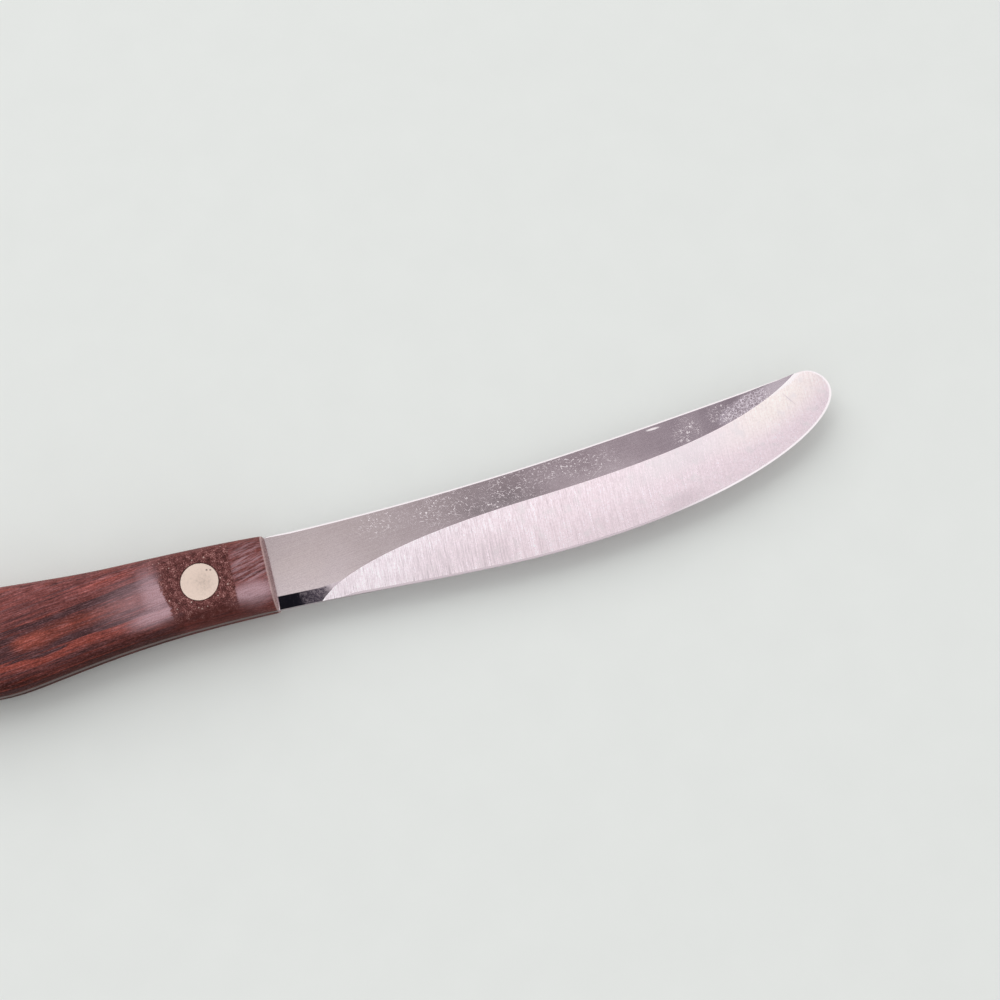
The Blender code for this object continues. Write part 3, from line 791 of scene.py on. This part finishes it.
def rosewood(looks):
    """Dark red figured wood under clear lacquer, bare and porous round the rivets, with painted sheen,
    glints, light and shade.
    """
    tree = new_material("lacquered_rosewood")
    places = tree.millimetres_from(FRONT_RIVET)
    tone, fine, pores = figure(tree, places, looks)
    bare = bare_share(tree, places, looks)
    lacquered = 1.0 - bare
    patches = tree.noise(places, 0.9)
    grit = tree.noise(places, 4.4, roughness=0.7)
    mottle = patches * 0.3 + grit * 0.7
    bare_tone = tree.blend(tree.ease(mottle, 0.50, 0.42, 0.0, 0.85), looks.bare_colour, PORE_COLOUR)
    bare_tone = tree.tint(bare_tone, tree.span(patches, *NOISE, 0.80, 1.16))
    bare_tone = tree.blend(tree.ease(mottle, 0.54, 0.64, 0.0, 0.9), bare_tone, looks.fibre_colour)
    # Painted glints in the bare wood
    bare_tone = tree.blend(tree.effect("specks", places, **PAINTED_GLINTS), bare_tone, PAINTED_GLINT_COLOUR)
    # Painted glints: fine pale flecks of reflected light on the lacquer
    tone = tree.blend(tree.ease(pores, 0.40, 0.05, 0.0, 0.11), tone, looks.painted_sheen_colour)
    tone = tree.blend(bare * 0.92, tone, bare_tone)
    for rivet in RIVETS:
        grime = tree.oval(places, Patch((rivet, 0.0), (GRIME_REACH, GRIME_REACH), softness=GRIME_SOFTNESS))
        tone = tree.blend(grime * 0.6, tone, PORE_COLOUR)
    # Painted sheen of reflected light on the lacquer, kept off the bare wood
    painted_sheen = painted_sheen_share(tree, places, fine) * lacquered
    painted_sheen *= tree.span(grit, *NOISE, 0.68, 1.30)
    tone = tree.blend(painted_sheen, tone, looks.painted_sheen_colour)
    # Painted shade on the lower slope below the front rivet
    tone = tree.blend(tree.oval(places, PAINTED_LOWER_SHADE) * 0.50, tone, looks.lower_shade_colour)

    x, _, _ = tree.parts(places)
    rubbed = tree.ease(x, *(FRONT_END - back for back in RUBBED_EDGE))
    rubbed *= tree.span(grit, *NOISE, 0.35, 1.0)
    tone = tree.blend(rubbed, tone, looks.rubbed_colour)
    end = tree.ease(x, *(FRONT_END - back for back in END_GRAIN))
    end *= tree.ease(grit, 0.55, 0.42)
    coat = tree.ease(depth_from_tang(tree, places), 4.8, HALF_THICKNESS, 0.0, 0.14)
    rough = grit * bare - pores * 0.2
    return tree.finished({
        "Base Color": tree.blend(end * 0.8, tone, looks.bare_colour),
        "Roughness": tree.span(bare, 0.0, 1.0, 0.45, 0.8),
        "Coat Weight": coat * lacquered,
        "Coat Roughness": looks.lacquer_roughness,
        "Specular IOR Level": 0.04,
        "Normal": tree.bump(rough, PORE_DEPTH, 0.5),
    })


# Rivet metal

PIT_COLOUR = (0.06, 0.04, 0.035)
PIT_DEPTH = 0.00005

# Marks and patches of the rivets, in millimetres from the front rivet
FILE_LINES, FILE_TURN = {"length": 3.0, "width": 0.13, "contrast": 1.6}, 0.5
PITS = {"spacing": 0.62, "size": 0.60, "share": 0.52}
STAIN = Patch((0.7, -0.2), (1.5, 1.8), softness=0.85)
PITTED = Patch((1.9, 3.0), (1.6, 0.9), turn=-35.0, softness=0.4)


def nickel_silver(looks):
    """Pale nickel silver, ground flush, with fine marks, a faint stain and a few pits."""
    tree = new_material("nickel_silver")
    places = tree.millimetres_from(FRONT_RIVET)
    marks = tree.effect("streaks", tree.turned(places, FILE_TURN), **FILE_LINES)
    grain = tree.noise(places, 1.5, detail=4.0, roughness=0.7)
    pits = tree.effect("specks", places, **PITS)
    pits *= tree.larger(tree.oval(places, PITTED), 0.06)
    grey = shade(looks.metal_colour, 0.60)
    stained = tree.oval(places, STAIN) * tree.span(grain, 0.35, 0.65, 0.05, 0.60)
    tone = tree.blend(stained, looks.metal_colour, grey)
    tone = tree.blend(tree.ease(grain, 0.45, 0.75, 0.0, 0.22), tone, grey)
    tone = tree.blend(marks * 0.10, tone, grey)
    height = marks * 0.3 - pits
    return tree.finished({
        "Base Color": tree.blend(pits, tone, PIT_COLOUR),
        "Roughness": tree.span(marks, 0.0, 1.0, 0.38, 0.50),
        "Normal": tree.bump(height, PIT_DEPTH, 0.4),
        "Metallic": 1.0,
    })


# Modelling

def deselect_all():
    bpy.ops.object.select_all(action="DESELECT")


def edit(obj, mode="FACE"):
    """Opens an object in edit mode with nothing selected."""
    deselect_all()
    obj.select_set(True)
    bpy.context.view_layer.objects.active = obj
    bpy.ops.object.mode_set(mode="EDIT")
    bpy.ops.mesh.select_mode(type=mode)
    bpy.ops.mesh.select_all(action="DESELECT")


def end_edit():
    bpy.ops.object.mode_set(mode="OBJECT")


def select_faces(obj, wanted):
    """Selects the faces, in edit mode, that a test of (middle, normal) picks, and no others."""
    bpy.ops.mesh.select_mode(type="FACE")
    mesh = bmesh.from_edit_mesh(obj.data)
    for face in mesh.faces:
        face.select_set(wanted(face.calc_center_median(), face.normal))
    bmesh.update_edit_mesh(obj.data)


def select_edges(obj, wanted):
    """Selects the edges, in edit mode, that a test of (ends, faces' normals) picks, and no others."""
    bpy.ops.mesh.select_mode(type="EDGE")
    mesh = bmesh.from_edit_mesh(obj.data)
    for edge in mesh.edges:
        ends = [corner.co for corner in edge.verts]
        edge.select_set(wanted(ends, [face.normal for face in edge.link_faces]))
    bmesh.update_edit_mesh(obj.data)


def copied_node(name, node, flatness):
    """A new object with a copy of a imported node's mesh, merged, with its flat pairs of triangles joined."""
    obj = bpy.data.objects.new(name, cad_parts[node].data.copy())
    bpy.context.scene.collection.objects.link(obj)
    obj.data.materials.clear()
    edit(obj)
    bpy.ops.mesh.select_all(action="SELECT")
    bpy.ops.mesh.remove_doubles(threshold=SAME_POINT)
    bpy.ops.mesh.tris_convert_to_quads(face_threshold=flatness, shape_threshold=QUAD_SKEW)
    end_edit()
    return obj


def settle(obj, node):
    """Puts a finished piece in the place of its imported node."""
    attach(obj, "root")
    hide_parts(node)


# What tells faces and edges apart: heights and turns of normals, lengths in metres, and angles
FLAT_LEAST = 0.999
GROUND_LEAST = 0.985
LAND_LEAST = 0.9999
CHAMFER_LEAST, CHAMFER_MOST = 0.6, 0.8
SPINE_LEAST_TURN = 0.5
HEEL_LEAST_TURN = -0.012
HEEL_LENGTH = 0.0122
SPINE_START = JOINT.x - 0.0001
SPINE_END = BLADE_HIGH.x - 0.0145
QUAD_SKEW = math.radians(80.0)
STEEL_FLATNESS, STEEL_CREASE = math.radians(1.0), math.radians(2.5)
WOOD_FLATNESS, WOOD_CREASE, WOOD_SMOOTH = math.radians(5.0), math.radians(60.0), math.radians(35.0)
RIVET_SMOOTH = math.radians(30.0)


def on_ground(middle, normal):
    """Whether a face of the steel lies flat or nearly so."""
    return abs(normal.z) > GROUND_LEAST


def on_rim(middle, normal):
    """Whether a face of the steel is on its bevel, its chamfers or its rim."""
    return not on_ground(middle, normal)


def on_heel(middle, normal):
    """Whether a face of the steel is on the relieved heel between the handle and the grind."""
    return middle.x < JOINT.x + HEEL_LENGTH and normal.x > HEEL_LEAST_TURN and on_ground(middle, normal)


def on_flat(middle, normal):
    """Whether a face of the steel is on one of its two flats."""
    height = min(abs(middle.z - BLADE_HIGH.z), abs(middle.z - BLADE_LOW.z))
    return abs(normal.z) > FLAT_LEAST and height < SAME_POINT


def on_spine(ends, normals):
    """Whether an edge of the steel is where a flat meets the chamfer along the spine."""
    if min(end.x for end in ends) < SPINE_START or max(end.x for end in ends) > SPINE_END:
        return False
    tilts = sorted(abs(normal.z) for normal in normals)
    if tilts[-1] <= FLAT_LEAST or not CHAMFER_LEAST < tilts[0] < CHAMFER_MOST:
        return False
    return max(normal.y for normal in normals) > SPINE_LEAST_TURN


class KNIFE_OT_ground_blade(bpy.types.Operator):
    """Make the blade and tang with polished flats, a brushed hollow grind and a bright edge"""

    bl_idname = "knife.ground_blade"
    bl_label = "Ground Blade"

    def execute(self, context):
        looks = context.scene.blade_looks
        blade = copied_node("ground_blade", "blade", STEEL_FLATNESS)
        for finish in (flat_steel, hollow_steel, edge_steel, heel_steel):
            blade.data.materials.append(finish(looks))
        edit(blade, "EDGE")
        select_edges(blade, on_spine)
        bpy.ops.mesh.bevel(offset=looks.spine_round, segments=2, affect="EDGES", clamp_overlap=False)
        bpy.ops.mesh.select_all(action="DESELECT")
        bpy.ops.mesh.select_mode(type="EDGE")
        bpy.ops.mesh.edges_select_sharp(sharpness=STEEL_CREASE)
        bpy.ops.mesh.mark_sharp()
        for slot, wanted in ((1, on_ground), (2, on_rim), (3, on_heel), (0, on_flat)):
            select_faces(blade, wanted)
            blade.active_material_index = slot
            bpy.ops.object.material_slot_assign()
        end_edit()
        bpy.ops.object.shade_smooth(keep_sharp_edges=True)
        settle(blade, "blade")
        return {"FINISHED"}


class KNIFE_OT_wood_scales(bpy.types.Operator):
    """Make both rosewood scales, rounded more finely than their solids"""

    bl_idname = "knife.wood_scales"
    bl_label = "Wood Scales"

    def execute(self, context):
        wood = rosewood(context.scene.wood_looks)
        for name, node in (("front_grip", "front_scale"), ("back_grip", "back_scale")):
            grip = copied_node(name, node, WOOD_FLATNESS)
            grip.data.materials.append(wood)
            edit(grip, "EDGE")
            bpy.ops.mesh.edges_select_sharp(sharpness=WOOD_CREASE)
            bpy.ops.transform.edge_crease(value=1.0)
            select_faces(grip, lambda middle, normal: abs(normal.z) > LAND_LEAST)
            bpy.ops.mesh.region_to_loop()
            bpy.ops.transform.edge_crease(value=1.0)
            end_edit()
            rounding = grip.modifiers.new("rounding", "SUBSURF")
            rounding.levels = 2
            rounding.render_levels = 2
            bpy.ops.object.modifier_apply(modifier=rounding.name)
            bpy.ops.object.shade_smooth_by_angle(angle=WOOD_SMOOTH)
            settle(grip, node)
        return {"FINISHED"}


def rivet_head(name, node, looks, facing):
    """A rivet's head as a disc with an eased rim, flush with the land that it faces, and its radius."""
    low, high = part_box(node)
    radius = (high.x - low.x) / 2
    outer = high.z if facing > 0 else low.z
    middle = outer - facing * looks.head_thickness / 2
    deselect_all()
    bpy.ops.mesh.primitive_cylinder_add(
        vertices=looks.sides,
        radius=radius,
        depth=looks.head_thickness,
        location=((low.x + high.x) / 2, (low.y + high.y) / 2, middle),
    )
    obj = bpy.context.object
    obj.name = name
    bpy.ops.object.transform_apply()
    edit(obj, "EDGE")
    select_edges(obj, lambda ends, normals: all(abs(end.z - outer) < SAME_POINT for end in ends))
    bpy.ops.mesh.bevel(offset=looks.rim_ease, segments=4, affect="EDGES")
    return obj, radius


def grow_shank(facing, inset, height):
    """Insets the selected flat end, which faces the tang, and draws it out."""
    bpy.ops.mesh.inset(thickness=inset, depth=0.0)
    bpy.ops.mesh.extrude_region_move(TRANSFORM_OT_translate={"value": (0.0, 0.0, -facing * height)})


class KNIFE_OT_rivets(bpy.types.Operator):
    """Make both cutler's rivets, each a headed pin pressed into a headed tube"""

    bl_idname = "knife.rivets"
    bl_label = "Rivets"

    def execute(self, context):
        looks = context.scene.rivet_looks
        metal = nickel_silver(looks)
        pin = looks.pin_diameter / 2
        tube = pin + looks.fit + looks.tube_wall
        for place in ("front", "rear"):
            for kind, facing, shank in (("pin", 1, pin), ("tube", -1, tube)):
                node = f"{place}_rivet_{kind}"
                low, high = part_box(node)
                length = high.z - low.z - looks.head_thickness
                obj, radius = rivet_head(f"{place}_{kind}", node, looks, facing)
                select_faces(obj, lambda middle, normal: normal.z * facing < -FLAT_LEAST)
                grow_shank(facing, radius - shank, length)
                if kind == "tube":
                    grow_shank(-facing, looks.tube_wall, length)
                end_edit()
                obj.data.materials.append(metal)
                bpy.ops.object.shade_smooth_by_angle(angle=RIVET_SMOOTH)
                settle(obj, node)
        return {"FINISHED"}


# Stage, with places and sizes in metres

KEY_PLACE, KEY_SIZE = (-0.90, 2.55, 2.85), 4.2
CLIP_START = 0.01
TOOTH_SCALE = 90.0

# Light of the grey card from one end to the other, which the flats mirror
GREY_CARD_PLACE, GREY_CARD_SIZE = (0.06, 0.325, 1.0), (1.1, 0.17)
GREY_CARD_ENDS = (-0.35, 0.45)
GREY_CARD_STOPS = (
    (0.0, (0.30, 0.28, 0.28)),
    (0.30, (0.43, 0.41, 0.40)),
    (0.36, (0.64, 0.62, 0.59)),
    (0.42, (0.62, 0.60, 0.57)),
    (0.475, (0.55, 0.53, 0.51)),
    (0.57, (0.32, 0.293, 0.298)),
    (0.726, (0.42, 0.388, 0.405)),
    (0.81, (0.305, 0.278, 0.308)),
    (1.0, (0.29, 0.265, 0.295)),
)
GREY_CARD_PATCHES = (
    (Patch((-0.068, 0.259), (0.046, 0.017), softness=0.8), (0.87, 0.85, 0.78)),
    (Patch((0.285, 0.233), (0.25, 0.040), softness=0.12), (0.98, 0.98, 0.98)),
)

# Light of the dark flag, which the heel mirrors
DARK_FLAG_PLACE, DARK_FLAG_SIZE = (-0.040, 0.008, 0.5), (0.05, 0.056)
DARK_FLAG_ENDS = (-0.06, -0.015)
DARK_FLAG_STOPS = (
    (0.0, (0.008, 0.009, 0.012)),
    (0.55, (0.010, 0.011, 0.016)),
    (0.72, (0.075, 0.065, 0.090)),
)

# Soft dark veil over a part of the grey card
GAUZE = Patch((0.0545, 0.0412), (0.0100, 0.0022), softness=0.8)
GAUZE_HEIGHT, GAUZE_SIZE, GAUZE_SHARE = 0.15, (0.044, 0.014), 0.85


def floor_paint(looks):
    """Plain pale floor with a trace of tooth."""
    tree = new_material("pale_floor")
    tooth = tree.noise(tree.object_places(), TOOTH_SCALE, detail=4.0)
    tone = tree.blend(tooth, looks.floor_colour, shade(looks.floor_colour, 0.96))
    return tree.finished({"Base Color": tone, "Roughness": 0.9})


def card_paint(name, stops, ends, patches=()):
    """Light of a card, from one end to the other along X, with soft patches on it."""
    tree = new_material(name)
    tree.data.nodes.clear()
    places = tree.object_places()
    x, _, _ = tree.parts(places)
    colour = tree.ramp(tree.span(x, *ends), stops)
    for patch, patch_colour in patches:
        colour = tree.blend(tree.oval(places, patch), colour, patch_colour)
    light = tree.value(0, "Emission", {"Color": colour, "Strength": 1.0})
    tree.add("OutputMaterial", {"Surface": light})
    return tree.material


def gauze_paint(name):
    """A soft dark oval that is clear all round, and holds back a share of the light behind it."""
    tree = new_material(name)
    mask = tree.oval(tree.object_places(), GAUZE)
    return tree.finished({
        "Base Color": (0.0, 0.0, 0.0, 1.0),
        "Specular IOR Level": 0.0,
        "Alpha": mask * GAUZE_SHARE,
    })


def add_world(looks):
    """Even light from all round. Seen directly and in mirrors it is a white room."""
    world = bpy.data.worlds.new("studio")
    bpy.context.scene.world = world
    world.use_nodes = True
    tree = Tree(world.node_tree)
    path = tree.add("LightPath").outputs
    rays = [Value(tree, path[f"Is {kind} Ray"]) for kind in ("Camera", "Glossy", "Transmission")]
    seen = tree.larger(tree.larger(rays[0], rays[1]), rays[2])
    strength = tree.span(seen, 0.0, 1.0, looks.light_level, looks.sky_level)
    background = world.node_tree.nodes["Background"]
    tree.fill(background, {"Strength": strength, "Color": (1.0, 1.0, 1.0, 1.0)})


def add_card(name, centre, size, material):
    """A card that only reflections show."""
    deselect_all()
    bpy.ops.mesh.primitive_plane_add(size=1.0, location=centre)
    card = bpy.context.object
    card.name = name
    card.scale = (*size, 1.0)
    bpy.ops.object.transform_apply()
    card.data.materials.append(material)
    card.visible_camera = False
    card.visible_diffuse = False
    card.visible_shadow = False


class KNIFE_OT_stage(bpy.types.Operator):
    """Add the floor, the soft light, the cards that the steel reflects, and the camera"""

    bl_idname = "knife.stage"
    bl_label = "Stage"

    def execute(self, context):
        looks = context.scene.stage_looks
        scene = context.scene
        scene.view_settings.view_transform = "Standard"

        deselect_all()
        bpy.ops.mesh.primitive_plane_add(size=looks.floor_size, location=(0.0, 0.0, 0.0))
        floor = bpy.context.object
        floor.name = "floor"
        floor.data.materials.append(floor_paint(looks))

        add_world(looks)
        bpy.ops.object.light_add(type="AREA", location=KEY_PLACE)
        key = bpy.context.object
        key.name = "soft_key"
        key.data.energy = looks.key_power
        key.data.size = KEY_SIZE
        key.visible_glossy = False
        key.rotation_euler = (-Vector(key.location)).to_track_quat("-Z", "Y").to_euler()

        grey = card_paint("grey_card", GREY_CARD_STOPS, GREY_CARD_ENDS, GREY_CARD_PATCHES)
        add_card("grey_card", GREY_CARD_PLACE, GREY_CARD_SIZE, grey)
        dark = card_paint("dark_flag", DARK_FLAG_STOPS, DARK_FLAG_ENDS)
        add_card("dark_flag", DARK_FLAG_PLACE, DARK_FLAG_SIZE, dark)
        add_card("gauze", (*GAUZE.middle, GAUZE_HEIGHT), GAUZE_SIZE, gauze_paint("gauze"))

        aim = JOINT + Vector((looks.aim_ahead, looks.aim_across, 0.0))
        level = math.cos(looks.elevation)
        right, ahead = math.sin(looks.azimuth) * level, -math.cos(looks.azimuth) * level
        back = Vector((right, ahead, math.sin(looks.elevation)))
        bpy.ops.object.camera_add(location=aim + back * looks.distance)
        camera = bpy.context.object
        camera.name = "photo_camera"
        camera.rotation_euler = (-back).to_track_quat("-Z", "Y").to_euler()
        camera.data.lens = looks.lens
        camera.data.clip_start = CLIP_START
        scene.camera = camera
        return {"FINISHED"}


class KNIFE_PT_looks(bpy.types.Panel):
    """Lists the steps that dress the knife, with their settings"""

    bl_idname = "KNIFE_PT_looks"
    bl_label = "Steak Knife"
    bl_space_type = "VIEW_3D"
    bl_region_type = "UI"
    bl_category = "Steak Knife"

    def draw(self, context):
        for step, name in zip(STEPS, SETTINGS):
            looks = getattr(context.scene, name)
            box = self.layout.box()
            box.operator(step.bl_idname)
            for setting in looks.__annotations__:
                box.prop(looks, setting)


SETTINGS = {
    "blade_looks": BladeLooks,
    "wood_looks": WoodLooks,
    "rivet_looks": RivetLooks,
    "stage_looks": StageLooks,
}
STEPS = (KNIFE_OT_ground_blade, KNIFE_OT_wood_scales, KNIFE_OT_rivets, KNIFE_OT_stage)
SHOWN = (*STEPS, KNIFE_PT_looks)


def register():
    for name, settings in SETTINGS.items():
        bpy.utils.register_class(settings)
        setattr(bpy.types.Scene, name, PointerProperty(type=settings))
    for shown in SHOWN:
        bpy.utils.register_class(shown)


def unregister():
    for shown in reversed(SHOWN):
        bpy.utils.unregister_class(shown)
    for name, settings in reversed(SETTINGS.items()):
        delattr(bpy.types.Scene, name)
        bpy.utils.unregister_class(settings)


def main():
    register()
    bpy.ops.knife.ground_blade()
    bpy.ops.knife.wood_scales()
    bpy.ops.knife.rivets()
    bpy.ops.knife.stage()


if __name__ == "__main__":
    main()
